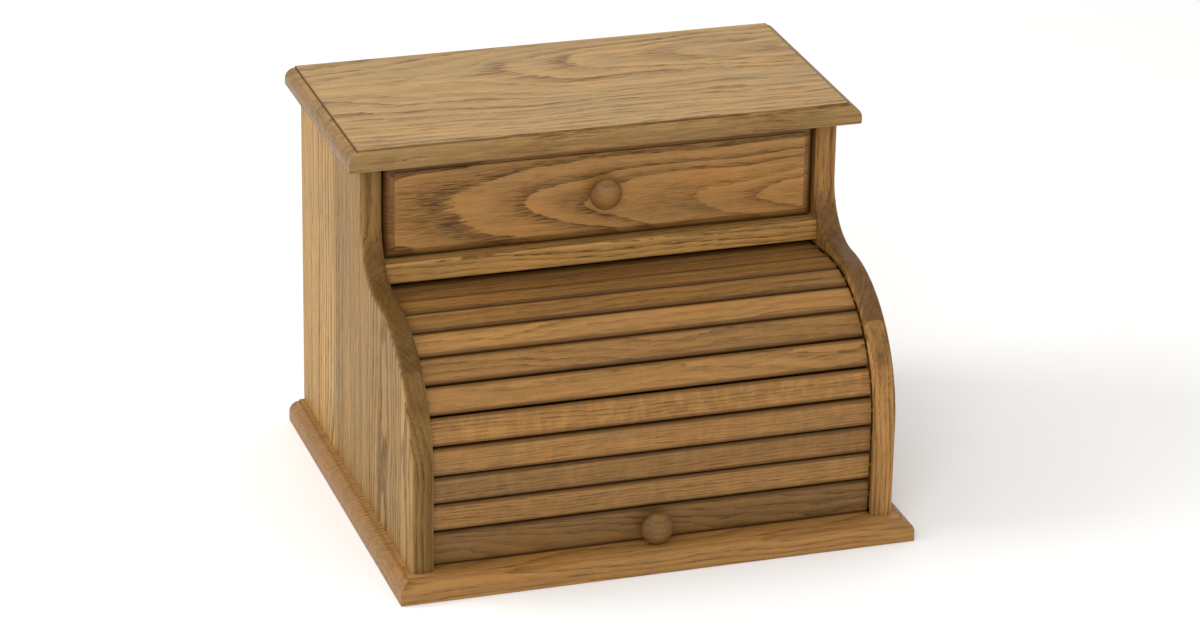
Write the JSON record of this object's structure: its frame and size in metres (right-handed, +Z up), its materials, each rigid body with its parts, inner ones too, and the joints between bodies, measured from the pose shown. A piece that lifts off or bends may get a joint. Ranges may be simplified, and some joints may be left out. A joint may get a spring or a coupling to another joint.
{
  "type": "bread box",
  "caption": "Oak bread box with a slatted roll top on a curved front, a drawer above it, and moulded base and top boards.",
  "frame": {"origin": "middle of the underside of the whole box", "axes": "+Z up, the roll top and drawer face -Y, +X to the right seen from the front"},
  "size_m": [0.448, 0.38, 0.334],
  "materials": {
    "oak_case": "satin lacquered solid oak, plain sawn",
    "oak_top": "satin lacquered solid oak with cathedral grain",
    "oak_drawer_front": "satin lacquered solid oak with cathedral grain",
    "oak_slat": "satin lacquered oak strips, each of its own tone",
    "oak_knob": "satin lacquered turned oak",
    "oak_inner": "sanded, thinly sealed oak",
    "plywood": "sealed birch plywood",
    "canvas": "plain weave cotton duck, glued",
    "steel": "zinc plated screw steel"
  },
  "bodies": {
    "case": {"base_board": "oak_case", "left_side": "oak_case", "right_side": "oak_case", "top_board": "oak_top", "back_panel": "plywood", "shelf_rail": "oak_case", "drawer_shelf": "plywood", "left_cleat": "oak_inner", "right_cleat": "oak_inner", "drawer_stops": "oak_inner", "base_screws": "steel", "cleat_screws": "steel", "back_screws": "steel"},
    "drawer": {"drawer_front": "oak_drawer_front", "drawer_left_side": "oak_inner", "drawer_right_side": "oak_inner", "drawer_back": "oak_inner", "drawer_bottom": "plywood", "drawer_knob": "oak_knob", "drawer_knob_screw": "steel"},
    "lift_bar": {"lift_bar": "oak_slat", "lift_bar_knob": "oak_knob", "lift_bar_knob_screw": "steel", "canvas_00": "canvas"},
    "slat_01": {"slat_01": "oak_slat", "canvas_01": "canvas"},
    "slat_02": {"slat_02": "oak_slat", "canvas_02": "canvas"},
    "slat_03": {"slat_03": "oak_slat", "canvas_03": "canvas"},
    "slat_04": {"slat_04": "oak_slat", "canvas_04": "canvas"},
    "slat_05": {"slat_05": "oak_slat", "canvas_05": "canvas"},
    "slat_06": {"slat_06": "oak_slat", "canvas_06": "canvas"},
    "slat_07": {"slat_07": "oak_slat", "canvas_07": "canvas"},
    "slat_08": {"slat_08": "oak_slat", "canvas_08": "canvas"},
    "slat_09": {"slat_09": "oak_slat", "canvas_09": "canvas"},
    "slat_10": {"slat_10": "oak_slat", "canvas_10": "canvas"},
    "slat_11": {"slat_11": "oak_slat", "canvas_11": "canvas"}
  },
  "joints": [
    {"name": "drawer_slide", "type": "slide", "parent": "case", "child": "drawer", "axis": [0, -1, 0], "range_m": [0, 0.14]},
    {"name": "roll_top", "type": "hinge", "parent": "case", "child": "lift_bar", "pos_m": [0, 0.02401, 0.06786], "axis": [-1, 0, 0], "range_deg": [0, 44.01]},
    {"name": "slat_01_track", "type": "hinge", "parent": "case", "child": "slat_01", "pos_m": [0, -0.0244, 0.08178], "axis": [-1, 0, 0], "range_deg": [0, 59.58]},
    {"name": "slat_02_track", "type": "hinge", "parent": "case", "child": "slat_02", "pos_m": [0, -0.04877, 0.09413], "axis": [-1, 0, 0], "range_deg": [0, 73.39]},
    {"name": "slat_03_track", "type": "hinge", "parent": "case", "child": "slat_03", "pos_m": [0, -0.058, 0.101], "axis": [-1, 0, 0], "range_deg": [0, 81.07]},
    {"name": "slat_04_track", "type": "hinge", "parent": "case", "child": "slat_04", "pos_m": [0, -0.05328, 0.0936], "axis": [-1, 0, 0], "range_deg": [0, 75.09]},
    {"name": "slat_05_track", "type": "hinge", "parent": "case", "child": "slat_05", "pos_m": [0, -0.04297, 0.06968], "axis": [-1, 0, 0], "range_deg": [0, 61.29]},
    {"name": "slat_06_track", "type": "hinge", "parent": "case", "child": "slat_06", "pos_m": [0, -0.03402, 0.03028], "axis": [-1, 0, 0], "range_deg": [0, 47.48]},
    {"name": "slat_07_track", "type": "hinge", "parent": "case", "child": "slat_07", "pos_m": [0, -0.02798, -0.04237], "axis": [-1, 0, 0], "range_deg": [0, 33.67]},
    {"name": "slat_08_track", "type": "hinge", "parent": "case", "child": "slat_08", "pos_m": [0, -0.03074, -0.21556], "axis": [-1, 0, 0], "range_deg": [0, 19.86]},
    {"name": "slat_09_track", "type": "hinge", "parent": "case", "child": "slat_09", "pos_m": [0, -0.10204, -1.1723], "axis": [-1, 0, 0], "range_deg": [0, 6.06]},
    {"name": "slat_10_track", "type": "slide", "parent": "case", "child": "slat_10", "axis": [0, 0.9962, -0.0872], "range_m": [0, 0.1452]},
    {"name": "slat_11_track", "type": "slide", "parent": "case", "child": "slat_11", "axis": [0, 0.9962, -0.0872], "range_m": [0, 0.1452]}
  ],
  "couplings": [
    {"joint": "slat_01_track", "follows": "roll_top", "ratio": 1.3534},
    {"joint": "slat_02_track", "follows": "roll_top", "ratio": 1.6672},
    {"joint": "slat_03_track", "follows": "roll_top", "ratio": 1.8419},
    {"joint": "slat_04_track", "follows": "roll_top", "ratio": 1.706},
    {"joint": "slat_05_track", "follows": "roll_top", "ratio": 1.3922},
    {"joint": "slat_06_track", "follows": "roll_top", "ratio": 1.0785},
    {"joint": "slat_07_track", "follows": "roll_top", "ratio": 0.7647},
    {"joint": "slat_08_track", "follows": "roll_top", "ratio": 0.45095},
    {"joint": "slat_09_track", "follows": "roll_top", "ratio": 0.1372},
    {"joint": "slat_10_track", "follows": "roll_top", "m_per_rad": 0.18879},
    {"joint": "slat_11_track", "follows": "roll_top", "m_per_rad": 0.18879}
  ]
}
